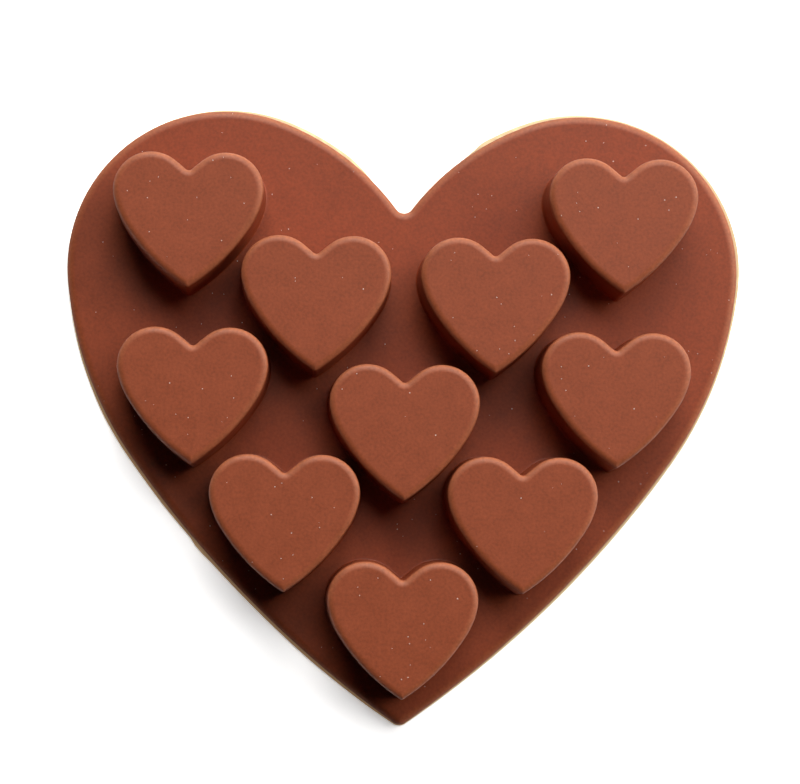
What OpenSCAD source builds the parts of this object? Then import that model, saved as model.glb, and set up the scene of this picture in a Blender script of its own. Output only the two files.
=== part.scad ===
// Heart-shaped silicone chocolate mould with ten heart cups, one moulding.
// It rests on its open face, cup floors up. +Z is up and -Y is the tip of the heart.
// Sizes are in millimetres.

/* [Cup outline] */
// Width of a cup across its lobes, at the top of its wall
cup_w = 33.2; // [28:0.1:38]
// Height of a cup from its lobes to its tip
cup_h = 29.8; // [26:0.1:34]
// Depth of a cup's notch below the top of its lobes
cup_notch_depth = 4.0; // [3:0.1:5]
// Radius at the bottom of a cup's notch
cup_notch_r = 1.0; // [0.8:0.1:1.6]
// Radius of the arc from the notch up to the lobe
cup_inner_r = 60; // [45:1:80]
// Radius of a cup's lobe
cup_lobe_r = 8.3; // [7.5:0.1:8.8]
// Radius of the arc below the lobe
cup_flank_r = 16.8; // [14:0.1:20]
// Radius of the long side that runs to the tip
cup_side_r = 44.5; // [37:0.5:60]
// Radius at a cup's tip
cup_tip_r = 0.8; // [0.6:0.1:1.6]

/* [Cup section] */
// Height of a cup above the sheet
cup_rise = 14.5; // [8:0.5:20]
// Taper of a cup's wall, in degrees
cup_draft = 1; // [0:0.1:2]
// Radius round the closed floor of a cup
cup_edge_r = 1.1; // [0.6:0.1:1.4]
// Radius of the fillet at the foot of a cup
cup_foot_r = 0.4; // [0.2:0.1:0.6]
// Thickness of a cup's wall
wall_t = 1.8; // [1.2:0.1:2.4]
// Thickness of a cup's floor
floor_t = 2.0; // [1.2:0.1:3]
// Radius round the floor inside a cup, which shapes the chocolate's edge
cavity_edge_r = 1.2; // [0.6:0.1:1.8]
// Tip radius inside a cup
cavity_tip_r = 0.8; // [0.5:0.1:1.2]

/* [Cup layout] */
// Gap between the two cups of the second row
second_row_gap = 6.2; // [4:0.1:10]
// Sideways lap of a top-row cup over its second-row neighbour
top_row_lap = 5.0; // [2:0.1:7]
// Downward lap between the top row and the second row
second_row_lap = 11.8; // [8:0.1:13]
// Gap between a top-row cup and the side cup below it
side_cup_gap = 8.7; // [6:0.1:14]
// Gap between a side cup and the centre cup
centre_gap = 13.2; // [9:0.1:16]
// Downward lap between the second row and the centre cup
centre_lap = 1.7; // [1:0.1:3]
// Gap between the two cups of the lower row
lower_row_gap = 18.8; // [15:0.1:24]
// Downward lap between the centre cup and the lower row
lower_row_lap = 9.8; // [6:0.1:11]
// Downward lap between the lower row and the last cup
last_cup_lap = 6.7; // [4:0.1:8]

/* [Sheet] */
// Sheet left outside the top-row cups, at each side
side_margin = 11.2; // [8:0.1:16]
// Sheet left above the top-row cups
top_margin = 11.7; // [8:0.1:16]
// Sheet left below the last cup
tip_margin = 6.4; // [5:0.1:11]
// Depth of the sheet's notch below the top of its lobes
sheet_notch_depth = 22.5; // [18:0.5:27]
// Radius at the bottom of the sheet's notch
sheet_notch_r = 2.2; // [1.6:0.1:4]
// Radius of the sheet's arc from the notch up to the lobe
sheet_inner_r = 57; // [48:1:68]
// Radius of the sheet's lobe
sheet_lobe_r = 35.3; // [30:0.1:38]
// Radius of the sheet's flank below the lobe
sheet_flank_r = 82; // [72:1:100]
// Radius of the sheet's long side that runs to the tip
sheet_side_r = 245; // [205:5:310]
// Radius at the sheet's tip
sheet_tip_r = 2.1; // [1.6:0.1:4]
// Thickness of the sheet
sheet_t = 2.2; // [1.8:0.1:3.5]
// Radius round the sheet's upper edge
sheet_edge_r = 1.2; // [0.8:0.1:1.5]
// Width of the thin moulding lip left round the foot of the edge
lip_w = 0.5; // [0.2:0.1:1]
// Thickness of the moulding lip
lip_t = 0.3; // [0.2:0.05:0.5]

/* [Hidden] */
// How steeply the lobe meets the flank, in degrees below level
cup_flank_a = -10;
sheet_flank_a = -6;
// Segments of the notch, inner, lobe, flank, side and tip arcs of one half
cup_steps = [2, 2, 8, 4, 3, 3];
sheet_steps = [5, 5, 12, 9, 7, 4];
// Segments of the outer shoulders, of the round floor inside a cup and of its foot
edge_steps = 3;
cavity_steps = 2;
foot_steps = 2;
// How far a cup reaches into the sheet, and a cavity past its open face
bite = 0.5;

cup_shape = [cup_w, cup_h, cup_notch_depth, cup_notch_r, cup_inner_r, cup_lobe_r,
             cup_flank_r, cup_flank_a, cup_side_r, cup_tip_r];

second_x = (cup_w + second_row_gap) / 2;
top_x = second_x + cup_w - top_row_lap;
side_x = cup_w + centre_gap;
lower_x = (cup_w + lower_row_gap) / 2;

sheet_w = 2 * (top_x + cup_w / 2 + side_margin);
top_drop = top_margin + cup_h / 2;
second_drop = top_drop + cup_h - second_row_lap;
side_drop = top_drop + cup_h + side_cup_gap;
centre_drop = second_drop + cup_h - centre_lap;
lower_drop = centre_drop + cup_h - lower_row_lap;
last_drop = lower_drop + cup_h - last_cup_lap;
sheet_h = last_drop + cup_h / 2 + tip_margin;

sheet_shape = [sheet_w, sheet_h, sheet_notch_depth, sheet_notch_r, sheet_inner_r, sheet_lobe_r,
               sheet_flank_r, sheet_flank_a, sheet_side_r, sheet_tip_r];

sheet_top = sheet_h / 2;
cup_places = [
    [-top_x, sheet_top - top_drop], [top_x, sheet_top - top_drop],
    [-second_x, sheet_top - second_drop], [second_x, sheet_top - second_drop],
    [-side_x, sheet_top - side_drop], [side_x, sheet_top - side_drop],
    [0, sheet_top - centre_drop],
    [-lower_x, sheet_top - lower_drop], [lower_x, sheet_top - lower_drop],
    [0, sheet_top - last_drop]
];

cup_top = sheet_t + cup_rise;
cavity_top = cup_top - floor_t;

// The point at distance ra from a and rb from b, on the side that turn says
function meet(a, ra, b, rb, turn) =
    let (
        d = b - a,
        l = norm(d),
        t = (ra * ra - rb * rb + l * l) / (2 * l),
        s = sqrt(max(0, ra * ra - t * t)),
        u = d / l
    )
    a + t * u + turn * s * [-u[1], u[0]];

function heading(from, to) = atan2(to[1] - from[1], to[0] - from[0]);

function arc(c, r, a0, a1, n) =
    [for (i = [0 : n - 1]) c + r * [cos(a0 + (a1 - a0) * i / n), sin(a0 + (a1 - a0) * i / n)]];

// Right half of a heart from notch to tip, as tangent arcs, moved in by inset.
// Its centre of height is at y = 0.
function half_heart(shape, inset, tip_r_min, steps) =
    let (
        h = shape[1],
        notch_r = shape[3],
        inner_r = shape[4],
        lobe_r = shape[5],
        flank_r = shape[6],
        flank_a = shape[7],
        side_r = shape[8],
        flank_dir = [cos(flank_a), sin(flank_a)],
        lobe = [shape[0] / 2 - flank_r + (flank_r - lobe_r) * flank_dir[0], h / 2 - lobe_r],
        flank = lobe - (flank_r - lobe_r) * flank_dir,
        notch = [0, h / 2 - shape[2] + notch_r],
        inner = meet(lobe, inner_r - lobe_r, notch, inner_r + notch_r, 1),
        side = meet(flank, side_r - flank_r, [0, shape[9] - h / 2], side_r - shape[9], -1),
        tip_r = max(shape[9] - inset, tip_r_min),
        reach = side_r - inset - tip_r,
        tip = [0, side[1] - sqrt(reach * reach - side[0] * side[0])],
        a_notch = heading(notch, inner),
        a_inner = heading(inner, lobe),
        a_side = heading(side, flank),
        a_tip = heading(side, tip)
    )
    concat(
        arc(notch, max(notch_r + inset, 0.1), -90, a_notch, steps[0]),
        arc(inner, inner_r - inset, a_notch + 180, a_inner, steps[1]),
        arc(lobe, lobe_r - inset, a_inner, flank_a, steps[2]),
        arc(flank, flank_r - inset, flank_a, a_side, steps[3]),
        arc(side, side_r - inset, a_side, a_tip, steps[4]),
        arc(tip, tip_r, a_tip, -90, steps[5]),
        [tip - [0, tip_r]]
    );

// Whole heart, clockwise from the bottom of the notch
function heart(shape, inset, tip_r_min, steps) =
    let (
        half = half_heart(shape, inset, tip_r_min, steps),
        last = len(half) - 1
    )
    concat(half, [for (i = [last - 1 : -1 : 1]) [-half[i][0], half[i][1]]]);

// Solid through a stack of heart rings, each given as [z, inset]
module heart_stack(shape, levels, tip_r_min, steps) {
    rings = [for (v = levels) [for (p = heart(shape, v[1], tip_r_min, steps)) [p[0], p[1], v[0]]]];
    n = len(rings[0]);
    m = len(rings);
    hub_y = -shape[1] / 8;
    points = concat(
        [for (ring = rings) each ring],
        [[0, hub_y, levels[0][0]], [0, hub_y, levels[m - 1][0]]]
    );
    skin = [
        for (j = [0 : m - 2], i = [0 : n - 1])
            let (k = (i + 1) % n, a = j * n, b = a + n)
            each [[a + i, b + k, b + i], [a + i, a + k, b + k]]
    ];
    bottom = [for (i = [0 : n - 1]) [m * n, (i + 1) % n, i]];
    top = [for (i = [0 : n - 1]) [m * n + 1, (m - 1) * n + i, (m - 1) * n + (i + 1) % n]];
    polyhedron(points = points, faces = concat(skin, bottom, top));
}

// Levels of a quarter-round shoulder that ends at height z
function shoulder(z, inset, r, steps) =
    [for (i = [1 : steps])
        let (a = 90 * i / steps)
        [z - r + r * sin(a), inset + r * (1 - cos(a))]];

// Levels of a hollow fillet that starts at height z
function foot_fillet(z, inset, r, steps) =
    [for (i = [0 : steps])
        let (a = 90 * i / steps)
        [z + r * (1 - cos(a)), inset - r * (1 - sin(a))]];

module sheet() {
    levels = concat(
        [[0, -lip_w], [lip_t, -lip_w], [lip_t, 0], [sheet_t - sheet_edge_r, 0]],
        shoulder(sheet_t, 0, sheet_edge_r, edge_steps)
    );
    heart_stack(sheet_shape, levels, 0.2, sheet_steps);
}

module cup_body() {
    foot_inset = -tan(cup_draft) * (cup_rise - cup_edge_r);
    levels = concat(
        [[sheet_t - bite, foot_inset - cup_foot_r]],
        foot_fillet(sheet_t, foot_inset, cup_foot_r, foot_steps),
        [[cup_top - cup_edge_r, 0]],
        shoulder(cup_top, 0, cup_edge_r, edge_steps)
    );
    heart_stack(cup_shape, levels, 0.2, cup_steps);
}

module cup_cavity() {
    slope = tan(cup_draft);
    wall_top = cavity_top - cavity_edge_r;
    levels = concat(
        [[-bite, wall_t - slope * (wall_top + bite)], [wall_top, wall_t]],
        shoulder(cavity_top, wall_t, cavity_edge_r, cavity_steps)
    );
    heart_stack(cup_shape, levels, cavity_tip_r, cup_steps);
}

module mould() {
    color([0.59, 0.31, 0.22])
    difference() {
        union() {
            sheet();
            for (p = cup_places) translate(p) cup_body();
        }
        for (p = cup_places) translate(p) cup_cavity();
    }
}

mould();
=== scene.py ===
"""Looks for the heart-shaped silicone chocolate mould, seen from above with its cup floors up."""
import logging
import math
from dataclasses import dataclass, field, replace
from enum import Enum

import bpy
import numpy as np
from mathutils import Matrix, Vector
from mathutils.geometry import delaunay_2d_cdt


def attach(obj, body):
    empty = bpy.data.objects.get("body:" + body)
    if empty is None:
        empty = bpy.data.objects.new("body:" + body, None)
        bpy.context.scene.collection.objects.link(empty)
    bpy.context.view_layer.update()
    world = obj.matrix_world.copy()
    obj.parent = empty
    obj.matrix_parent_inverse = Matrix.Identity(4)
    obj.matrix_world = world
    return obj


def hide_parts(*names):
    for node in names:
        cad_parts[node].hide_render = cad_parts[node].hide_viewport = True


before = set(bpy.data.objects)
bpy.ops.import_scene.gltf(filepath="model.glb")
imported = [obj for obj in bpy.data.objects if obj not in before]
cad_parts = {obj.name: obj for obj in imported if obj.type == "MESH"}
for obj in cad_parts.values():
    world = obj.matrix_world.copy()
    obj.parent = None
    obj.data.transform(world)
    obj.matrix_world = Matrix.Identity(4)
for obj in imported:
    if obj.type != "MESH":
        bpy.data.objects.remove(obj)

MM = 0.001
QUARTER_TURN = math.pi / 2
ROOT = "root"
NODE = "mould"

# Attributes of the mesh: the faces of the moulding lip, and how far each point is paled: painted
# highlights on rounded edges, light painted through the lip, and a slightly paler cup top.
LIP_ATTRIBUTE = "lip"
PAINTED_LIGHT_ATTRIBUTE = "rub"

# Painted highlight: edges are painted palest where they face this bearing, towards the lamps, in
# degrees clockwise from the notch, and keep only the least share of it where they face away into shade.
LIT_BEARING = 30.0
LEAST_LIT_SHARE = 0.3

# How far a rounded edge has turned from the wall to the flat face, and how strongly its painted highlight
# pales it there.
# The flat face's own level comes last.
HIGHLIGHT_TURNS = (0.0, 0.15, 0.4, 1.0)
HIGHLIGHT_LEVELS = (0.0, 0.6, 1.0)

# A flat plate's triangles are kept only inside its rim, and points this close in mm are one.
INSIDE_ONLY = 1
JOIN_DISTANCE = 1e-7

WHITE = (1.0, 1.0, 1.0, 1.0)

Socket = bpy.types.NodeSocket

log = logging.getLogger("mould")


class Arc(Enum):
    """The arcs that make one half of a heart outline, from notch to tip."""

    NOTCH = 0
    INNER = 1
    LOBE = 2
    FLANK = 3
    SIDE = 4
    TIP = 5


@dataclass(frozen=True)
class HeartOutline:
    """A heart drawn with tangent arcs, its middle of height at y = 0.

    Sizes are in millimetres. The lobe's arc passes into the flank's at the flank angle, in degrees
    up from +X. The least radii hold where an inset would use up the arc at the notch or the tip.
    """

    width: float
    height: float
    notch_depth: float
    notch_r: float
    inner_r: float
    lobe_r: float
    flank_r: float
    flank_angle: float
    side_r: float
    tip_r: float
    least_tip_r: float
    steps: tuple[int, ...]
    least_notch_r: float = 0.1

    @staticmethod
    def meet(a: np.ndarray, ra: float, b: np.ndarray, rb: float, turn: int) -> np.ndarray:
        """Find the point at given distances from two others.

        Args:
            a: First centre.
            ra: Distance from the first centre.
            b: Second centre.
            rb: Distance from the second centre.
            turn: 1 or -1, the side of the line from a to b.

        Returns:
            The point, as x and y.
        """
        gap = b - a
        length = float(np.hypot(*gap))
        along = (ra * ra - rb * rb + length * length) / (2 * length)
        across = math.sqrt(max(0.0, ra * ra - along * along))
        unit = gap / length
        return a + along * unit + turn * across * np.array([-unit[1], unit[0]])

    @staticmethod
    def heading(start: np.ndarray, end: np.ndarray) -> float:
        """Give the angle from one point to another, in radians."""
        return math.atan2(end[1] - start[1], end[0] - start[0])

    def half(self, inset: float) -> np.ndarray:
        """Draw the right half, moved in by an inset.

        Args:
            inset: Distance that the outline moves in, negative for out.

        Returns:
            Points from the bottom of the notch to the tip, one row each.
        """
        turn = math.radians(self.flank_angle)
        out = np.array([math.cos(turn), math.sin(turn)])
        lobe = np.array([self.width / 2 - self.flank_r, self.height / 2 - self.lobe_r])
        lobe[0] += (self.flank_r - self.lobe_r) * out[0]
        flank = lobe - (self.flank_r - self.lobe_r) * out
        notch = np.array([0.0, self.height / 2 - self.notch_depth + self.notch_r])
        inner = self.meet(lobe, self.inner_r - self.lobe_r, notch, self.inner_r + self.notch_r, 1)
        foot = np.array([0.0, self.tip_r - self.height / 2])
        side = self.meet(flank, self.side_r - self.flank_r, foot, self.side_r - self.tip_r, -1)
        tip_r = max(self.tip_r - inset, self.least_tip_r)
        reach = self.side_r - inset - tip_r
        tip = np.array([0.0, side[1] - math.sqrt(reach * reach - side[0] * side[0])])

        down = -QUARTER_TURN
        a_notch, a_inner = self.heading(notch, inner), self.heading(inner, lobe)
        a_side, a_tip = self.heading(side, flank), self.heading(side, tip)
        arcs = {
            Arc.NOTCH: (notch, max(self.notch_r + inset, self.least_notch_r), down, a_notch),
            Arc.INNER: (inner, self.inner_r - inset, a_notch + math.pi, a_inner),
            Arc.LOBE: (lobe, self.lobe_r - inset, a_inner, turn),
            Arc.FLANK: (flank, self.flank_r - inset, turn, a_side),
            Arc.SIDE: (side, self.side_r - inset, a_side, a_tip),
            Arc.TIP: (tip, tip_r, a_tip, down),
        }
        rows = []
        for name, (centre, radius, first, last) in arcs.items():
            angles = np.linspace(first, last, self.steps[name.value], endpoint=False)
            rows.append(centre + radius * np.stack([np.cos(angles), np.sin(angles)], axis=1))
        rows.append((tip - [0.0, tip_r])[None])
        return np.concatenate(rows)

    def ring(self, inset: float) -> np.ndarray:
        """Draw the whole outline, clockwise from the bottom of the notch.

        Args:
            inset: Distance that the outline moves in, negative for out.

        Returns:
            Points of the closed outline, one row each, in millimetres.
        """
        half = self.half(inset)
        return np.concatenate([half, half[-2:0:-1] * [-1.0, 1.0]])

    def outward(self) -> np.ndarray:
        """Give each ring point's outward direction."""
        out = self.ring(-1.0) - self.ring(0.0)
        return out / np.hypot(out[:, 0], out[:, 1])[:, None]

    def light_facing(self) -> np.ndarray:
        """Say how far each ring point faces the lamps, which sets how strongly its painted highlight shows.

        Returns:
            The wear at each point, up to 1 where the edge faces LIT_BEARING.
        """
        turn = math.radians(LIT_BEARING)
        facing = self.outward() @ np.array([math.sin(turn), math.cos(turn)])
        return LEAST_LIT_SHARE + (1 - LEAST_LIT_SHARE) * (facing + 1) / 2


@dataclass
class Skin:
    """Gathers the points and faces of one mesh, in millimetres, and how far painted light pales each point.
    """

    points: list[tuple[float, float, float]] = field(default_factory=list)
    faces: list[tuple[int, ...]] = field(default_factory=list)
    painted_lights: list[float] = field(default_factory=list)

    def level(self, spots: np.ndarray, height: float, rub: float | np.ndarray = 0.0) -> np.ndarray:
        """Add points at one height, such as a closed ring.

        Args:
            spots: The points' x and y.
            height: Their z.
            rub: How far painted light pales the surface here, 0 to 1, for all points or for each.

        Returns:
            The index of each point.
        """
        start = len(self.points)
        self.points.extend((float(x), float(y), float(height)) for x, y in spots)
        self.painted_lights.extend(np.broadcast_to(rub, (len(spots),)).tolist())
        return np.arange(start, len(self.points))

    def loft(self, rings: list[np.ndarray], inward: bool = False) -> None:
        """Join rings in order with bands of faces.

        Args:
            rings: Point indices of each ring.
            inward: True where the skin faces into the rings, as in a cavity.
        """
        for low, high in zip(rings, rings[1:]):
            for a, b, c, d in zip(low, high, np.roll(high, -1), np.roll(low, -1)):
                self.faces.append((a, d, c, b) if inward else (a, b, c, d))

    def fan(self, ring: np.ndarray, hub: tuple[float, float, float], inward: bool = False) -> None:
        """Close a ring with a fan of triangles.

        Args:
            ring: Point indices of the ring.
            hub: The middle point of the fan.
            inward: True where the closing face looks down.
        """
        centre = len(self.points)
        self.points.append(hub)
        self.painted_lights.append(self.painted_lights[int(ring[0])])
        for a, b in zip(ring, np.roll(ring, -1)):
            self.faces.append((centre, a, b) if inward else (centre, b, a))

    def plate(self, rim: np.ndarray, holes: list[np.ndarray], pitch: float, down: bool) -> None:
        """Fill the space between a rim and its holes with even triangles.

        Args:
            rim: Point indices of the outer ring, all at one height.
            holes: Point indices of each hole's ring.
            pitch: Distance between the points added in between.
            down: True where the plate faces down.
        """
        loops = [rim, *holes]
        shapes = [np.array([self.points[i][:2] for i in loop]) for loop in loops]
        edges = []
        start = 0
        for loop in loops:
            count = len(loop)
            edges += [(start + i, start + (i + 1) % count) for i in range(count)]
            start += count
        grid = self.grid_between(shapes, pitch)
        cloud = [Vector(spot) for spot in np.concatenate([*shapes, grid])]
        made, _, tris, origin, _, _ = delaunay_2d_cdt(cloud, edges, [], INSIDE_ONLY, JOIN_DISTANCE)
        known = np.concatenate([*loops, self.level(grid, self.points[int(rim[0])][2])])
        index = [int(known[sources[0]]) for sources in origin]
        where = np.array([spot[:] for spot in made])
        middles = np.array([where[list(tri)].mean(axis=0) for tri in tris])
        for tri, kept in zip(tris, self.between(shapes, middles)):
            if not kept:
                continue
            a, b, c = (where[i] for i in tri)
            up = (b[0] - a[0]) * (c[1] - a[1]) - (b[1] - a[1]) * (c[0] - a[0]) > 0
            face = tuple(index[i] for i in tri)
            self.faces.append(face if up != down else face[::-1])

    @classmethod
    def grid_between(cls, shapes: list[np.ndarray], pitch: float) -> np.ndarray:
        """Lay staggered points between the first outline and the others, clear of them all.

        Args:
            shapes: The outer outline, then each hole's.
            pitch: Distance between the points.

        Returns:
            The points, as x and y.
        """
        flat = np.concatenate(shapes)
        low, high = flat.min(axis=0), flat.max(axis=0)
        xs = np.arange(low[0] + pitch / 2, high[0], pitch)
        ys = np.arange(low[1] + pitch / 2, high[1], pitch)
        grid = np.array([(x + (pitch / 2) * (k % 2), y) for k, y in enumerate(ys) for x in xs])
        grid = grid[cls.between(shapes, grid)]
        offset = grid[:, None] - flat[None]
        gap = np.min(np.hypot(offset[..., 0], offset[..., 1]), axis=1)
        least_gap = pitch / 3
        return grid[gap > least_gap]

    @classmethod
    def between(cls, shapes: list[np.ndarray], spots: np.ndarray) -> np.ndarray:
        """Say which points lie inside the first outline and outside the others.

        Args:
            shapes: The outer outline, then each hole's.
            spots: The points to test.

        Returns:
            One truth value for each point.
        """
        kept = cls.inside(shapes[0], spots)
        for shape in shapes[1:]:
            kept &= ~cls.inside(shape, spots)
        return kept

    @staticmethod
    def inside(shape: np.ndarray, spots: np.ndarray) -> np.ndarray:
        """Say which points lie inside a closed outline.

        Args:
            shape: The outline's points.
            spots: The points to test.

        Returns:
            One truth value for each point.
        """
        x, y = spots[:, 0][:, None], spots[:, 1][:, None]
        x0, y0 = shape[:, 0][None], shape[:, 1][None]
        x1, y1 = np.roll(shape[:, 0], -1)[None], np.roll(shape[:, 1], -1)[None]
        spans = (y0 > y) != (y1 > y)
        rise = np.where(y1 == y0, 1.0, y1 - y0)
        crossing = x0 + (y - y0) * (x1 - x0) / rise
        return (np.sum(spans & (x < crossing), axis=1) % 2) == 1

    def mesh(self, name: str) -> bpy.types.Mesh:
        """Make the mesh, in metres.

        Args:
            name: The mesh's name.

        Returns:
            The new mesh, smooth shaded.
        """
        data = bpy.data.meshes.new(name)
        data.from_pydata([tuple(v * MM for v in p) for p in self.points], [], self.faces)
        data.attributes.new(PAINTED_LIGHT_ATTRIBUTE, "FLOAT", "POINT").data.foreach_set("value", self.painted_lights)
        data.shade_smooth()
        data.update()
        return data


def quarter_round(steps: int, first: int = 0) -> list[tuple[float, float, float]]:
    """Divide a rounding that turns from a wall to a flat face into even steps.

    Args:
        steps: Number of steps.
        first: The step to begin with.

    Returns:
        For each step how far it has turned, how far it has risen and how far it has moved in, all
        from 0 to 1.
    """
    shares = [i / steps for i in range(first, steps + 1)]
    return [(share, math.sin(QUARTER_TURN * share), 1 - math.cos(QUARTER_TURN * share)) for share in shares]


def edge_highlight(share: float, flat_paling: float, light_facing: np.ndarray) -> np.ndarray:
    """Give the painted highlight on a rounded edge, as its paling.

    Args:
        share: How far the edge has turned from the wall, 0, to the flat face, 1.
        flat_paling: The paling of the flat face.
        light_facing: How far each point of its ring faces the lamps, 0 to 1, which scales the painted
            highlight.

    Returns:
        The paling at each point.
    """
    level = float(np.interp(share, HIGHLIGHT_TURNS, (*HIGHLIGHT_LEVELS, flat_paling)))
    return min(level, flat_paling) + max(level - flat_paling, 0.0) * light_facing


CUP_OUTLINE = HeartOutline(
    width=33.2,
    height=29.8,
    notch_depth=4.0,
    notch_r=1.0,
    inner_r=60.0,
    lobe_r=8.3,
    flank_r=16.8,
    flank_angle=-10.0,
    side_r=44.5,
    tip_r=0.8,
    least_tip_r=0.2,
    steps=(7, 5, 22, 10, 12, 8),
)


@dataclass
class CupShell:
    """One cup without the sheet: its outer skin and its cavity, open where the sheet joins.

    Sizes are in millimetres. Insets count from the outline that the cup has just below its rounded
    edge, and each rounding ends in a flat band as wide as the guard. The hub, where the triangles
    of a floor meet, lies a share of the height below the middle.
    """

    outline: HeartOutline = CUP_OUTLINE
    cavity_outline: HeartOutline = replace(CUP_OUTLINE, least_tip_r=0.8)
    sheet_t: float = 2.2
    rise: float = 14.5
    draft: float = 1.0
    edge_r: float = 1.1
    edge_reach: float = 1.6
    wall_t: float = 1.8
    floor_t: float = 2.0
    cavity_edge_r: float = 1.2
    foot_r: float = 0.4
    mouth_r: float = 0.4
    guard: float = 0.15
    shoulder_gap: float = 0.3
    # The cup's flat top is paled a little towards the painted light colour, so it shows a little paler than
    # the sheet.
    top_paling: float = 0.12
    edge_steps: int = 10
    foot_steps: int = 5
    wall_rings: int = 5
    hub_drop: float = 1 / 8

    @property
    def top(self) -> float:
        """Height of the cup's floor above the table."""
        return self.sheet_t + self.rise

    @property
    def slope(self) -> float:
        """How far a tapered wall runs out for each millimetre down."""
        return math.tan(math.radians(self.draft))

    def wall_inset(self, height: float) -> float:
        """Give the outer wall's inset at a height, with its taper."""
        return -self.slope * (self.top - self.edge_r - height)

    def cavity_inset(self, height: float) -> float:
        """Give the cavity wall's inset at a height, with its taper."""
        straight = self.top - self.floor_t - self.cavity_edge_r
        return self.wall_t - self.slope * (straight - height)

    def foot_ring(self) -> np.ndarray:
        """Draw the ring where the cup's foot runs out into the sheet."""
        return self.outline.ring(self.wall_inset(self.sheet_t) - self.foot_r - self.guard)

    def mouth_ring(self) -> np.ndarray:
        """Draw the ring where the cavity's mouth runs out into the open face."""
        return self.cavity_outline.ring(self.cavity_inset(0.0) - self.mouth_r - self.guard)

    def outer_levels(self) -> list[tuple[float, float, float | np.ndarray]]:
        """List the outer skin's levels from the sheet up.

        Returns:
            Height, inset and painted-light paling of each ring.
        """
        foot = self.wall_inset(self.sheet_t)
        levels = [(self.sheet_t, foot - self.foot_r - self.guard, 0.0)]
        for _, up, across in quarter_round(self.foot_steps):
            levels.append((self.sheet_t + self.foot_r * across, foot - self.foot_r * (1 - up), 0.0))
        shoulder = self.top - self.edge_r
        low, high = self.sheet_t + self.foot_r, shoulder - self.shoulder_gap
        for height in np.linspace(low, high, self.wall_rings)[1:]:
            levels.append((float(height), self.wall_inset(float(height)), 0.0))
        light_facing = self.outline.light_facing()
        # Painted highlight on the cup's rounded edge, strongest towards the lamps.
        for share, up, across in quarter_round(self.edge_steps):
            rub = edge_highlight(share, self.top_paling, light_facing)
            levels.append((shoulder + self.edge_r * up, self.edge_reach * across, rub))
        levels.append((self.top, self.edge_reach + self.guard, self.top_paling))
        return levels

    def cavity_levels(self) -> list[tuple[float, float]]:
        """List the cavity's levels from its mouth up.

        Returns:
            Height and inset of each ring.
        """
        mouth = self.cavity_inset(0.0)
        levels = [(0.0, mouth - self.mouth_r - self.guard)]
        for _, up, across in quarter_round(self.foot_steps):
            levels.append((self.mouth_r * across, mouth - self.mouth_r * (1 - up)))
        ceiling = self.top - self.floor_t
        straight = ceiling - self.cavity_edge_r
        levels.append((straight / 2, self.cavity_inset(straight / 2)))
        for _, up, across in quarter_round(self.foot_steps):
            levels.append((straight + self.cavity_edge_r * up, self.wall_t + self.cavity_edge_r * across))
        levels.append((ceiling, self.wall_t + self.cavity_edge_r + self.guard))
        return levels

    def build(self) -> bpy.types.Mesh:
        """Build the cup's open shell.

        Returns:
            The mesh, around the cup's own middle.
        """
        skin = Skin()
        hub_y = -self.outline.height * self.hub_drop
        outer = [skin.level(self.outline.ring(inset), z, rub) for z, inset, rub in self.outer_levels()]
        skin.loft(outer)
        skin.fan(outer[-1], (0.0, hub_y, self.top))
        cavity = [skin.level(self.cavity_outline.ring(inset), z) for z, inset in self.cavity_levels()]
        skin.loft(cavity, inward=True)
        skin.fan(cavity[-1], (0.0, hub_y, self.top - self.floor_t), inward=True)
        return skin.mesh("cup_shell")


@dataclass
class CupLayout:
    """Where the ten cups stand, from the gaps and laps between them. Sizes in millimetres."""

    cup_w: float
    cup_h: float
    second_row_gap: float = 6.2
    top_row_lap: float = 5.0
    second_row_lap: float = 11.8
    side_cup_gap: float = 8.7
    centre_gap: float = 13.2
    centre_lap: float = 1.7
    lower_row_gap: float = 18.8
    lower_row_lap: float = 9.8
    last_cup_lap: float = 6.7
    side_margin: float = 11.2
    top_margin: float = 11.7
    tip_margin: float = 6.4

    def rows(self) -> list[tuple[float, float]]:
        """List the rows from the top of the sheet down.

        Returns:
            Each row's half spacing, 0 for a single cup, and its drop below the top of the sheet.
        """
        second_x = (self.cup_w + self.second_row_gap) / 2
        top_drop = self.top_margin + self.cup_h / 2
        second_drop = top_drop + self.cup_h - self.second_row_lap
        centre_drop = second_drop + self.cup_h - self.centre_lap
        lower_drop = centre_drop + self.cup_h - self.lower_row_lap
        return [
            (second_x + self.cup_w - self.top_row_lap, top_drop),
            (second_x, second_drop),
            (self.cup_w + self.centre_gap, top_drop + self.cup_h + self.side_cup_gap),
            (0.0, centre_drop),
            ((self.cup_w + self.lower_row_gap) / 2, lower_drop),
            (0.0, lower_drop + self.cup_h - self.last_cup_lap),
        ]

    @property
    def sheet_w(self) -> float:
        """Width of the sheet that holds the layout."""
        return 2 * (self.rows()[0][0] + self.cup_w / 2 + self.side_margin)

    @property
    def sheet_h(self) -> float:
        """Height of the sheet that holds the layout."""
        return self.rows()[-1][1] + self.cup_h / 2 + self.tip_margin

    def places(self) -> list[tuple[float, float]]:
        """List the middle of each cup.

        Returns:
            The x and y of each middle, the sheet's middle of height at y = 0.
        """
        top = self.sheet_h / 2
        spots = []
        for half, drop in self.rows():
            sides = (-1, 1) if half else (0,)
            spots += [(side * half, top - drop) for side in sides]
        return spots


@dataclass(frozen=True)
class LipSpot:
    """The moulding lip at one bearing in degrees, clockwise from the notch.

    The width is in millimetres. The tone is painted light: it runs from 0, tan, where the lip lies
    in shade, to 1, cream, where light shines through it.
    """

    bearing: float
    width: float
    tone: float


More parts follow.
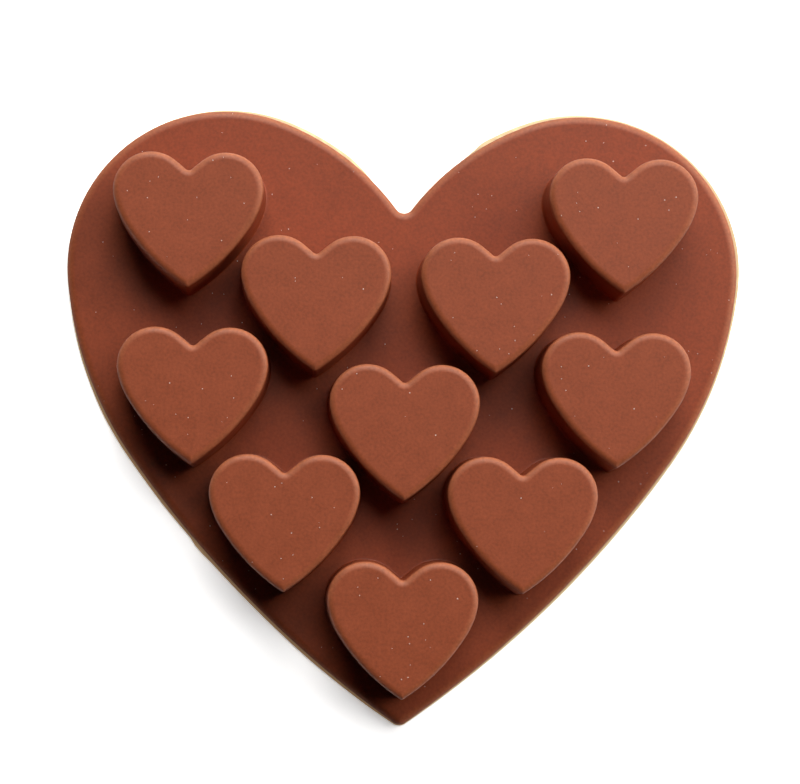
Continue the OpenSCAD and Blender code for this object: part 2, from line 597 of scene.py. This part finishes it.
@dataclass
class SheetShell:
    """The sheet: its two faces with holes for the cups, its rounded edge and the moulding lip.

    Sizes are in millimetres. The lip's tone is kept as its paling, which its own finish mixes from
    tan to cream as painted light, cream where light shines through the thin lip and tan in shade,
    so the narrow root band parts it from the wall.
    """

    layout: CupLayout
    cup: CupShell
    thickness: float = 2.2
    edge_r: float = 1.2
    edge_reach: float = 1.8
    lip_t: float = 0.3
    root_band: float = 0.002
    foot_band: float = 0.1
    guard: float = 0.2
    edge_steps: int = 8
    pitch: float = 3.0
    steps: tuple[int, ...] = (12, 24, 44, 34, 34, 12)
    lip: tuple[LipSpot, ...] = (
        LipSpot(-180, 0.28, 0.1), LipSpot(-174, 0.55, 0.1), LipSpot(-160, 0.70, 0.1),
        LipSpot(-140, 0.66, 0.1), LipSpot(-128, 0.72, 0.1), LipSpot(-124.5, 0.95, 0.2),
        LipSpot(-122, 0.92, 0.2), LipSpot(-121.3, 0.55, 0.1), LipSpot(-110, 0.75, 0.1),
        LipSpot(-100, 0.70, 0.1), LipSpot(-90, 0.68, 0.2), LipSpot(-80, 0.45, 0.3),
        LipSpot(-72, 0.10, 0.5), LipSpot(-50, 0.12, 0.9), LipSpot(-35, 0.25, 1.0),
        LipSpot(-30, 0.40, 1.0), LipSpot(-22, 0.75, 1.0), LipSpot(-12, 0.80, 1.0),
        LipSpot(-9, 0.35, 1.0), LipSpot(-8, 0.08, 0.5), LipSpot(13, 0.10, 0.5),
        LipSpot(15, 0.45, 0.6), LipSpot(16, 0.95, 0.7), LipSpot(24, 0.75, 1.0),
        LipSpot(32, 0.45, 1.0), LipSpot(45, 0.50, 1.0), LipSpot(52, 0.70, 0.7),
        LipSpot(62, 0.80, 0.5), LipSpot(75, 0.50, 0.8), LipSpot(90, 0.50, 0.7),
        LipSpot(105, 0.60, 0.6), LipSpot(135, 0.58, 0.6), LipSpot(150, 0.50, 0.6),
        LipSpot(170, 0.35, 0.5), LipSpot(180, 0.30, 0.1),
    )

    @property
    def outline(self) -> HeartOutline:
        """The outline of the sheet, large enough for its cups."""
        return HeartOutline(
            width=self.layout.sheet_w,
            height=self.layout.sheet_h,
            notch_depth=22.5,
            notch_r=2.2,
            inner_r=57.0,
            lobe_r=35.3,
            flank_r=82.0,
            flank_angle=-6.0,
            side_r=245.0,
            tip_r=2.1,
            least_tip_r=0.2,
            steps=self.steps,
        )

    def lip_edge(self) -> tuple[np.ndarray, np.ndarray]:
        """Draw the lip's uneven outer edge.

        Returns:
            The edge's points, and the lip's tone at each.
        """
        edge = self.outline.ring(0.0)
        bearing = np.degrees(np.arctan2(edge[:, 0], edge[:, 1]))
        known = [spot.bearing for spot in self.lip]
        width = np.interp(bearing, known, [spot.width for spot in self.lip])
        tone = np.interp(bearing, known, [spot.tone for spot in self.lip])
        return edge + self.outline.outward() * width[:, None], tone

    def lip_rings(self, skin: Skin) -> list[np.ndarray]:
        """Add the rings of the lip, from the open face round to the wall.

        Args:
            skin: The skin that takes the points.

        Returns:
            Point indices of each ring.
        """
        edge = self.outline.ring(0.0)
        low = skin.level(self.outline.ring(self.guard), 0.0)
        lip_edge, tone = self.lip_edge()
        return [
            low,
            skin.level(lip_edge, 0.0, tone),
            skin.level(lip_edge, self.lip_t, tone),
            skin.level(edge, self.lip_t, tone),
            skin.level(edge, self.lip_t + self.root_band),
        ]

    def wall_rings(self, skin: Skin) -> list[np.ndarray]:
        """Add the rings of the wall and its rounded edge, above the lip.

        Args:
            skin: The skin that takes the points.

        Returns:
            Point indices of each ring, up to the flat face.
        """
        shape = self.outline
        light_facing = shape.light_facing()
        wall_top = self.thickness - self.edge_r
        rings = [skin.level(shape.ring(0.0), height) for height in (self.lip_t + self.foot_band, wall_top)]
        # Painted highlight on the sheet's rounded edge, strongest towards the lamps.
        for share, up, across in quarter_round(self.edge_steps, first=1):
            outline = shape.ring(self.edge_reach * across)
            rings.append(skin.level(outline, wall_top + self.edge_r * up, edge_highlight(share, 0.0, light_facing)))
        rings.append(skin.level(shape.ring(self.edge_reach + self.guard), self.thickness))
        return rings

    def build(self) -> bpy.types.Mesh:
        """Build the sheet's open shell, with the lip's faces marked.

        Returns:
            The mesh, in the mould's own place.
        """
        skin = Skin()
        lip = self.lip_rings(skin)
        wall = self.wall_rings(skin)
        skin.loft(lip)
        lip_faces = len(skin.faces)
        skin.loft([lip[-1], *wall])
        feet, mouths = [], []
        for x, y in self.layout.places():
            feet.append(skin.level(self.cup.foot_ring() + [x, y], self.thickness))
            mouths.append(skin.level(self.cup.mouth_ring() + [x, y], 0.0))
        skin.plate(wall[-1], feet, self.pitch, down=False)
        skin.plate(lip[0], mouths, self.pitch, down=True)
        data = skin.mesh("sheet_shell")
        marks = np.arange(len(data.polygons)) < lip_faces
        data.attributes.new(LIP_ATTRIBUTE, "BOOLEAN", "FACE").data.foreach_set("value", marks)
        return data


@dataclass
class NodeTree:
    """A thin helper that adds nodes to one tree and feeds them."""

    tree: bpy.types.NodeTree

    def link(self, source: Socket, target: Socket) -> None:
        """Link two sockets."""
        self.tree.links.new(source, target)

    def feed(self, target: Socket, value: object) -> None:
        """Give an input a value, or link it where the value is a socket.

        Args:
            target: The input.
            value: A socket, or a plain value.
        """
        if isinstance(value, Socket):
            self.link(value, target)
        else:
            target.default_value = value

    def add(self, kind: str, given: dict[str, object] | None = None, **settings: object) -> bpy.types.Node:
        """Add a node, set its properties and feed its inputs.

        Args:
            kind: The node's type name.
            given: A socket or a value for each input that gets one, by the input's name.
            **settings: Properties of the node.

        Returns:
            The new node.
        """
        node = self.tree.nodes.new(kind)
        for name, value in settings.items():
            setattr(node, name, value)
        for name, value in (given or {}).items():
            self.feed(node.inputs[name], value)
        return node

    def calc(self, operation: str, *given: Socket | float) -> Socket:
        """Add a math node.

        Args:
            operation: What it works out.
            *given: A socket or a number for each of its inputs, in order.

        Returns:
            The result.
        """
        node = self.add("ShaderNodeMath", operation=operation)
        for target, value in zip(node.inputs, given):
            self.feed(target, value)
        return node.outputs[0]

    def mix(self, factor: Socket, first: Socket, second: Socket) -> Socket:
        """Mix two colours.

        Args:
            factor: Share of the second colour.
            first: The first colour.
            second: The second colour.

        Returns:
            The mixed colour.
        """
        node = self.add("ShaderNodeMix", data_type="RGBA")
        given = {"Factor_Float": factor, "A_Color": first, "B_Color": second}
        for target in node.inputs:
            if target.identifier in given:
                self.link(given[target.identifier], target)
        return next(result for result in node.outputs if result.identifier == "Result_Color")


class SurfaceGroup:
    """A shader group of cloudy tone, fine grain and painted highlights on the edges, shared by the
    finishes.
    """

    NAME = "moulded_surface"
    CLOUD_SCALE = 280.0
    CLOUD_DETAIL = 4.0
    CLOUD_ROUGHNESS = 0.62
    GRAIN_SCALE = 1500.0
    GRAIN_DETAIL = 3.0
    GRAIN_ROUGHNESS = 0.5
    NOISE_MIDDLE = 0.5
    GLOSS_SWING = 0.25
    BUMP_DEPTH = 0.0002

    @classmethod
    def get(cls) -> bpy.types.ShaderNodeTree:
        """Give the group, built on first use."""
        return bpy.data.node_groups.get(cls.NAME) or cls.build()

    @staticmethod
    def noise(t: NodeTree, scale: float, detail: float, roughness: float) -> Socket:
        """Add a noise that keeps its place on the piece.

        Args:
            t: The tree that takes the nodes.
            scale: Number of patches in a metre.
            detail: Number of finer layers.
            roughness: Share that each finer layer adds.

        Returns:
            The noise, from 0 to 1.
        """
        where = t.add("ShaderNodeTexCoord").outputs["Object"]
        given = {"Vector": where, "Scale": scale, "Detail": detail, "Roughness": roughness}
        return t.add("ShaderNodeTexNoise", given).outputs["Fac"]

    @classmethod
    def build(cls) -> bpy.types.ShaderNodeTree:
        """Build the group.

        Returns:
            The new shader node group.
        """
        tree = bpy.data.node_groups.new(cls.NAME, "ShaderNodeTree")
        inputs = {"Base": "Color", "Rubbed": "Color", "Cloud": "Float", "Grain": "Float",
                  "Roughness": "Float", "Relief": "Float"}
        outputs = {"Color": "Color", "Roughness": "Float", "Normal": "Vector"}
        for way, sockets in (("INPUT", inputs), ("OUTPUT", outputs)):
            for name, kind in sockets.items():
                tree.interface.new_socket(name, in_out=way, socket_type=f"NodeSocket{kind}")
        t = NodeTree(tree)
        given = t.add("NodeGroupInput").outputs
        grain = cls.noise(t, cls.GRAIN_SCALE, cls.GRAIN_DETAIL, cls.GRAIN_ROUGHNESS)
        cloud = cls.noise(t, cls.CLOUD_SCALE, cls.CLOUD_DETAIL, cls.CLOUD_ROUGHNESS)
        cloud_swing = t.calc("SUBTRACT", cloud, cls.NOISE_MIDDLE)
        grain_swing = t.calc("SUBTRACT", grain, cls.NOISE_MIDDLE)
        tone = t.calc("MULTIPLY_ADD", cloud_swing, given["Cloud"], 1.0)
        tone = t.calc("MULTIPLY_ADD", grain_swing, given["Grain"], tone)
        # Painted light: the mesh's attribute mixes the colour towards the painted light colour, for painted
        # highlights on edges and light painted through the lip.
        rub = t.add("ShaderNodeAttribute", attribute_name=PAINTED_LIGHT_ATTRIBUTE).outputs["Fac"]
        shade = t.add("ShaderNodeVectorMath", {"Scale": tone}, operation="SCALE")
        t.link(t.mix(rub, given["Base"], given["Rubbed"]), shade.inputs[0])
        bump = t.add("ShaderNodeBump", {
            "Distance": cls.BUMP_DEPTH, "Strength": given["Relief"], "Height": grain})
        t.add("NodeGroupOutput", {
            "Color": shade.outputs["Vector"],
            "Roughness": t.calc("MULTIPLY_ADD", cloud_swing, cls.GLOSS_SWING, given["Roughness"]),
            "Normal": bump.outputs["Normal"],
        })
        return tree


@dataclass(frozen=True)
class MouldedFinish:
    """A moulded finish, whose colours are linear red, green and blue.

    The surface mixes from its colour to its painted light colour where painted light pales it: painted
    highlights on rounded edges and light painted through the lip. Cloud and grain say how
    far its tone varies, and relief how far the grain stands out.
    """

    name: str
    colour: tuple[float, float, float]
    painted_light_colour: tuple[float, float, float]
    cloud: float
    grain: float
    roughness: float
    relief: float
    specular: float
    glow: float = 0.0
    sheen: float = 0.0
    sheen_roughness: float = 0.4
    sheen_tint: tuple[float, float, float] = (1.0, 0.75, 0.62)

    def build(self) -> bpy.types.Material:
        """Build the material.

        Returns:
            The new material.
        """
        material = bpy.data.materials.new(self.name)
        material.use_nodes = True
        t = NodeTree(material.node_tree)
        surface = t.add("ShaderNodeGroup", {
            "Base": (*self.colour, 1.0),
            "Rubbed": (*self.painted_light_colour, 1.0),
            "Cloud": self.cloud,
            "Grain": self.grain,
            "Roughness": self.roughness,
            "Relief": self.relief,
        }, node_tree=SurfaceGroup.get())
        settings = {
            "Base Color": surface.outputs["Color"],
            "Roughness": surface.outputs["Roughness"],
            "Normal": surface.outputs["Normal"],
            "Specular IOR Level": self.specular,
            "Sheen Weight": self.sheen,
            "Sheen Roughness": self.sheen_roughness,
            "Sheen Tint": (*self.sheen_tint, 1.0),
        }
        # A glow is painted light: the surface gives off its own colour though it is no lamp.
        if self.glow:
            settings |= {"Emission Color": surface.outputs["Color"], "Emission Strength": self.glow}
        shader = material.node_tree.nodes["Principled BSDF"]
        for name, value in settings.items():
            t.feed(shader.inputs[name], value)
        return material


BROWN_SILICONE = MouldedFinish(
    name="brown_silicone",
    colour=(0.281, 0.0515, 0.0145),
    # Painted highlight colour of the rounded edges.
    painted_light_colour=(0.480, 0.155, 0.068),
    cloud=0.38,
    grain=0.70,
    roughness=0.50,
    relief=0.10,
    specular=0.38,
)
THIN_LIP = MouldedFinish(
    name="thin_amber_lip",
    colour=(0.42, 0.24, 0.12),
    # Painted light: cream where light shines through the thin lip.
    painted_light_colour=(0.90, 0.74, 0.42),
    cloud=0.10,
    grain=0.05,
    roughness=0.45,
    relief=0.05,
    specular=0.50,
    # Painted glow: the thin lip gives off light as if lit through from behind.
    glow=0.35,
)
PALE_LINT = MouldedFinish(
    name="pale_lint",
    colour=(0.82, 0.74, 0.68),
    painted_light_colour=(0.82, 0.74, 0.68),
    cloud=0.10,
    grain=0.10,
    roughness=0.85,
    relief=0.05,
    specular=0.20,
    sheen=0.3,
)


def new_object(name: str, data: bpy.types.ID) -> bpy.types.Object:
    """Put a mesh, a lamp or a camera in the scene.

    Args:
        name: The object's name.
        data: Its mesh, lamp or camera.

    Returns:
        The new object, at the origin.
    """
    made = bpy.data.objects.new(name, data)
    bpy.context.scene.collection.objects.link(made)
    return made


def begin_geometry(name: str, inputs: dict[str, str]) -> tuple[NodeTree, bpy.types.Node, bpy.types.Node]:
    """Begin a geometry node tree with named inputs.

    Args:
        name: The tree's name.
        inputs: The kind of each input after the first, by its name.

    Returns:
        The tree's helper, its input node and its output node.
    """
    tree = bpy.data.node_groups.new(name, "GeometryNodeTree")
    tree.is_modifier = True
    for label, kind in {"Geometry": "Geometry", **inputs}.items():
        tree.interface.new_socket(label, in_out="INPUT", socket_type=f"NodeSocket{kind}")
    tree.interface.new_socket("Geometry", in_out="OUTPUT", socket_type="NodeSocketGeometry")
    t = NodeTree(tree)
    return t, t.add("NodeGroupInput"), t.add("NodeGroupOutput")


def apply_tree(carrier: bpy.types.Object, tree: bpy.types.GeometryNodeTree,
               values: dict[str, object]) -> None:
    """Run a geometry node tree on an object and keep the result as its plain mesh.

    Args:
        carrier: The object whose mesh goes into the tree.
        tree: The tree to run.
        values: The tree's inputs by name.
    """
    modifier = carrier.modifiers.new("build", "NODES")
    modifier.node_group = tree
    for item in tree.interface.items_tree:
        if item.item_type == "SOCKET" and item.in_out == "INPUT" and item.name in values:
            modifier[item.identifier] = values[item.name]
    carrier.update_tag()
    bpy.context.view_layer.update()
    evaluated = carrier.evaluated_get(bpy.context.evaluated_depsgraph_get())
    mesh = bpy.data.meshes.new_from_object(evaluated)
    carrier.modifiers.remove(modifier)
    old = carrier.data
    carrier.data = mesh
    bpy.data.meshes.remove(old)
    mesh.name = carrier.name


@dataclass
class MouldBody:
    """The whole moulding: the sheet with ten cups grown out of it."""

    cup: CupShell = field(default_factory=CupShell)
    weld_distance: float = 2e-6
    sharp_angle: float = 60.0

    @staticmethod
    def joining_tree() -> bpy.types.GeometryNodeTree:
        """Build the tree that sets the cups on their places and welds them to the sheet.

        Returns:
            The geometry node tree.
        """
        t, given, result = begin_geometry("cups_on_sheet", {
            "Cup": "Object", "Places": "Object", "Weld Distance": "Float",
            "Silicone": "Material", "Lip": "Material"})
        cup = t.add("GeometryNodeObjectInfo", {"Object": given.outputs["Cup"]})
        places = t.add("GeometryNodeObjectInfo", {"Object": given.outputs["Places"]})
        points = t.add("GeometryNodeMeshToPoints", {"Mesh": places.outputs["Geometry"]})
        stand = t.add("GeometryNodeInstanceOnPoints", {
            "Points": points.outputs["Points"], "Instance": cup.outputs["Geometry"]})
        join = t.add("GeometryNodeJoinGeometry")
        for part in (stand.outputs["Instances"], given.outputs["Geometry"]):
            t.link(part, join.inputs["Geometry"])
        real = t.add("GeometryNodeRealizeInstances", {"Geometry": join.outputs["Geometry"]})
        weld = t.add("GeometryNodeMergeByDistance", {
            "Geometry": real.outputs["Geometry"], "Distance": given.outputs["Weld Distance"]})
        body = t.add("GeometryNodeSetMaterial", {
            "Geometry": weld.outputs["Geometry"], "Material": given.outputs["Silicone"]})
        mark = t.add("GeometryNodeInputNamedAttribute", {"Name": LIP_ATTRIBUTE}, data_type="BOOLEAN")
        lip = t.add("GeometryNodeSetMaterial", {
            "Geometry": body.outputs["Geometry"], "Selection": mark.outputs["Attribute"],
            "Material": given.outputs["Lip"]})
        t.link(lip.outputs["Geometry"], result.inputs["Geometry"])
        return t.tree

    def build(self) -> bpy.types.Object:
        """Build and dress the moulding, in place of its plain solid.

        Returns:
            The finished object.
        """
        layout = CupLayout(self.cup.outline.width, self.cup.outline.height)
        body = new_object("mould_skin", SheetShell(layout, self.cup).build())
        cup = new_object("cup_pattern", self.cup.build())
        spots = bpy.data.meshes.new("cup_places")
        spots.from_pydata([(x * MM, y * MM, 0.0) for x, y in layout.places()], [], [])
        places = new_object("cup_places", spots)
        apply_tree(body, self.joining_tree(), {
            "Cup": cup,
            "Places": places,
            "Weld Distance": self.weld_distance,
            "Silicone": BROWN_SILICONE.build(),
            "Lip": THIN_LIP.build(),
        })
        for helper in (cup, places):
            bpy.data.objects.remove(helper)
        body.data.set_sharp_from_angle(angle=math.radians(self.sharp_angle))
        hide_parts(NODE)
        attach(body, ROOT)
        return body


@dataclass
class LintScatter:
    """Fine pale lint on the upward faces, as the photo shows.

    The density counts grains on a square metre, and the sizes are a grain's width in millimetres.
    """

    density: float = 14000.0
    least: float = 0.10
    most: float = 0.34
    seed: int = 11
    least_upward: float = 0.9

    @staticmethod
    def scatter_tree() -> bpy.types.GeometryNodeTree:
        """Build the tree that scatters grains over upward faces.

        Returns:
            The geometry node tree.
        """
        t, given, result = begin_geometry("lint_on_surface", {
            "Surface": "Object", "Density": "Float", "Least Size": "Float", "Most Size": "Float",
            "Seed": "Int", "Least Upward": "Float", "Material": "Material"})
        surface = t.add("GeometryNodeObjectInfo", {"Object": given.outputs["Surface"]})
        normal = t.add("GeometryNodeInputNormal")
        apart = t.add("ShaderNodeSeparateXYZ", {"Vector": normal.outputs["Normal"]})
        upward = t.add("FunctionNodeCompare", {
            "A": apart.outputs["Z"], "B": given.outputs["Least Upward"],
        }, data_type="FLOAT", operation="GREATER_THAN")
        spots = t.add("GeometryNodeDistributePointsOnFaces", {
            "Mesh": surface.outputs["Geometry"], "Selection": upward.outputs["Result"],
            "Density": given.outputs["Density"], "Seed": given.outputs["Seed"]})
        grain = t.add("GeometryNodeMeshIcoSphere", {"Radius": 1.0, "Subdivisions": 1})
        size = t.add("FunctionNodeRandomValue", {
            "Min": given.outputs["Least Size"], "Max": given.outputs["Most Size"],
            "Seed": given.outputs["Seed"],
        }, data_type="FLOAT_VECTOR")
        stand = t.add("GeometryNodeInstanceOnPoints", {
            "Points": spots.outputs["Points"], "Instance": grain.outputs["Mesh"],
            "Scale": size.outputs["Value"]})
        real = t.add("GeometryNodeRealizeInstances", {"Geometry": stand.outputs["Instances"]})
        dress = t.add("GeometryNodeSetMaterial", {
            "Geometry": real.outputs["Geometry"], "Material": given.outputs["Material"]})
        t.link(dress.outputs["Geometry"], result.inputs["Geometry"])
        return t.tree

    def build(self, body: bpy.types.Object) -> bpy.types.Object:
        """Scatter the lint over a body.

        Args:
            body: The finished moulding.

        Returns:
            The lint, as one mesh.
        """
        lint = new_object("lint", bpy.data.meshes.new("lint"))
        half_mm = MM / 2
        apply_tree(lint, self.scatter_tree(), {
            "Surface": body,
            "Density": self.density,
            "Least Size": self.least * half_mm,
            "Most Size": self.most * half_mm,
            "Seed": self.seed,
            "Least Upward": self.least_upward,
            "Material": PALE_LINT.build(),
        })
        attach(lint, ROOT)
        return lint


@dataclass(frozen=True)
class SoftLamp:
    """One soft rectangular lamp that faces the mould.

    The bearing runs from +X towards +Y and the rise from the table up, in degrees. Sizes and the
    distance are in metres, and the power is in watts.
    """

    name: str
    bearing: float
    rise: float
    size: tuple[float, float]
    power: float
    distance: float = 1.6
    colour: tuple[float, float, float] = (1.0, 0.985, 0.97)

    def build(self) -> bpy.types.Object:
        """Stand the lamp.

        Returns:
            The lamp.
        """
        light = bpy.data.lights.new(self.name, "AREA")
        light.shape = "RECTANGLE"
        light.size, light.size_y = self.size
        light.energy = self.power
        light.color = self.colour
        stand = new_object(self.name, light)
        turn, rise = math.radians(self.bearing), math.radians(self.rise)
        across = math.cos(rise)
        toward = Vector((across * math.cos(turn), across * math.sin(turn), math.sin(rise)))
        stand.location = toward * self.distance
        stand.rotation_euler = toward.to_track_quat("Z", "Y").to_euler()
        return stand


@dataclass
class Studio:
    """The pale table, the white wall round it, the soft lights and the camera.

    Sizes are in metres, apart from the camera's place and aim in millimetres.
    """

    lamps: tuple[SoftLamp, ...] = (
        SoftLamp("lamp_above", bearing=92.0, rise=38.0, size=(0.95, 0.95), power=18.0),
        SoftLamp("lamp_right", bearing=26.0, rise=30.0, size=(1.50, 0.70), power=16.0),
        SoftLamp("lamp_between", bearing=60.0, rise=58.0, size=(0.85, 0.85), power=7.5),
    )
    fill: float = 0.01
    fill_colour: tuple[float, float, float] = (0.93, 0.96, 1.0)
    table_tone: float = 0.85
    table_clip: float = 0.35
    table_lift: float = 0.30
    table_glow: float = 0.40
    far_glow: float = 1.0
    far_from: float = 0.22
    far_to: float = 0.65
    wall_reach: float = 3.0
    wall_height: float = 0.7
    wall_sides: int = 48
    camera_place: tuple[float, float, float] = (-20.3, -29.5, 549.9)
    camera_aim: tuple[float, float, float] = (-0.5, 5.7, 0.0)
    camera_roll: float = -0.58
    camera_near: float = 0.01
    sensor_mm: float = 36.0
    focal_px: float = 2450.0
    image_w_px: int = 800

    @staticmethod
    def begin_material(name: str) -> tuple[bpy.types.Material, NodeTree]:
        """Begin a material of the stage.

        Args:
            name: The material's name.

        Returns:
            The material and the helper of its empty tree.
        """
        material = bpy.data.materials.new(name)
        material.use_nodes = True
        material.node_tree.nodes.clear()
        return material, NodeTree(material.node_tree)

    @staticmethod
    def seen_ray(t: NodeTree) -> Socket:
        """Give 1 where a ray carries a picture: straight, mirrored or through a clear piece.

        Args:
            t: The tree that takes the nodes.

        Returns:
            The socket with the answer.
        """
        path = t.add("ShaderNodeLightPath").outputs
        mirrored = t.calc("MAXIMUM", path["Is Camera Ray"], path["Is Glossy Ray"])
        return t.calc("MAXIMUM", mirrored, path["Is Transmission Ray"])

    def table_material(self) -> bpy.types.Material:
        """Build the table's material.

        Light bounces off its plain tone. Seen rays find it paler, and white far from the mould, and
        the camera finds it a little paler still, so that it shows white round a soft shadow.

        Returns:
            The new material.
        """
        material, t = self.begin_material("pale_table")
        straight = t.add("ShaderNodeLightPath").outputs["Is Camera Ray"]
        seen = self.seen_ray(t)
        paper = t.calc("MULTIPLY_ADD", seen, self.table_clip, self.table_tone)
        lifted = t.calc("MULTIPLY_ADD", straight, self.table_lift, paper)
        matt = t.add("ShaderNodeBsdfDiffuse", {"Color": lifted})
        away = t.add("ShaderNodeVectorMath", operation="LENGTH")
        t.link(t.add("ShaderNodeTexCoord").outputs["Object"], away.inputs[0])
        far = t.add("ShaderNodeMapRange", {
            "Value": away.outputs["Value"], "From Min": self.far_from, "From Max": self.far_to,
            "To Max": self.far_glow})
        distant = t.calc("MULTIPLY", seen, far.outputs["Result"])
        strength = t.calc("MULTIPLY_ADD", straight, self.table_glow, distant)
        glow = t.add("ShaderNodeEmission", {"Color": WHITE, "Strength": strength})
        both = t.add("ShaderNodeAddShader")
        for target, shader in zip(both.inputs, (matt, glow)):
            t.link(shader.outputs[0], target)
        t.add("ShaderNodeOutputMaterial", {"Surface": both.outputs[0]})
        return material

    def build_table(self) -> bpy.types.Object:
        """Lay the table, which shows white to the camera and keeps the mould's shadow.

        Returns:
            The table.
        """
        half = self.wall_reach
        corners = [(-half, -half, 0), (half, -half, 0), (half, half, 0), (-half, half, 0)]
        data = bpy.data.meshes.new("table")
        data.from_pydata(corners, [], [(0, 1, 2, 3)])
        data.materials.append(self.table_material())
        table = new_object("table", data)
        return table

    def build_backdrop(self) -> bpy.types.Object:
        """Stand a low white wall round the table, which closes the view from the side.

        Returns:
            The backdrop.
        """
        sides = self.wall_sides
        turns = [2 * math.pi * i / sides for i in range(sides)]
        ring = [(self.wall_reach * math.cos(turn), self.wall_reach * math.sin(turn)) for turn in turns]
        points = [(x, y, z) for z in (0.0, self.wall_height) for x, y in ring]
        faces = [(i, i + sides, (i + 1) % sides + sides, (i + 1) % sides) for i in range(sides)]
        data = bpy.data.meshes.new("backdrop")
        data.from_pydata(points, [], faces)
        material, t = self.begin_material("white_wall")
        glow = t.add("ShaderNodeEmission", {"Color": WHITE, "Strength": self.seen_ray(t)})
        t.add("ShaderNodeOutputMaterial", {"Surface": glow.outputs[0]})
        data.materials.append(material)
        backdrop = new_object("backdrop", data)
        return backdrop

    def build_room(self) -> None:
        """Set the even fill light of the room."""
        world = bpy.data.worlds.new("soft_room")
        world.use_nodes = True
        bpy.context.scene.world = world
        world.node_tree.nodes.clear()
        t = NodeTree(world.node_tree)
        room = t.add("ShaderNodeBackground", {"Color": (*self.fill_colour, 1.0), "Strength": self.fill})
        t.add("ShaderNodeOutputWorld", {"Surface": room.outputs[0]})

    def build_camera(self) -> None:
        """Set the camera nearly straight above, a little towards the tip."""
        lens = bpy.data.cameras.new("camera")
        lens.sensor_fit = "HORIZONTAL"
        lens.sensor_width = self.sensor_mm
        lens.lens = self.focal_px / self.image_w_px * self.sensor_mm
        lens.clip_start = self.camera_near
        camera = new_object("camera", lens)
        place, aim = Vector(self.camera_place) * MM, Vector(self.camera_aim) * MM
        back = (place - aim).normalized()
        up = (Vector((0, 1, 0)) - back * back.y).normalized()
        turn = Matrix((up.cross(back), up, back)).transposed().to_4x4()
        roll = Matrix.Rotation(math.radians(-self.camera_roll), 4, "Z")
        camera.matrix_world = Matrix.Translation(place) @ turn @ roll
        bpy.context.scene.camera = camera

    def build(self) -> None:
        """Build the whole stage."""
        self.build_table()
        self.build_backdrop()
        for lamp in self.lamps:
            lamp.build()
        self.build_room()
        self.build_camera()
        bpy.context.scene.view_settings.view_transform = "Standard"


def main() -> None:
    """Build the mould, its lint and its stage, and report each."""
    logging.basicConfig(level=logging.INFO, format="%(name)s: %(message)s")
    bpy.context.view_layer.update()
    body = MouldBody().build()
    log.info("mould_skin has %d faces", len(body.data.polygons))
    lint = LintScatter().build(body)
    log.info("lint has %d faces", len(lint.data.polygons))
    Studio().build()
    log.info("stage, lights and camera are set")
    bpy.context.view_layer.update()


if __name__ == "__main__":
    main()
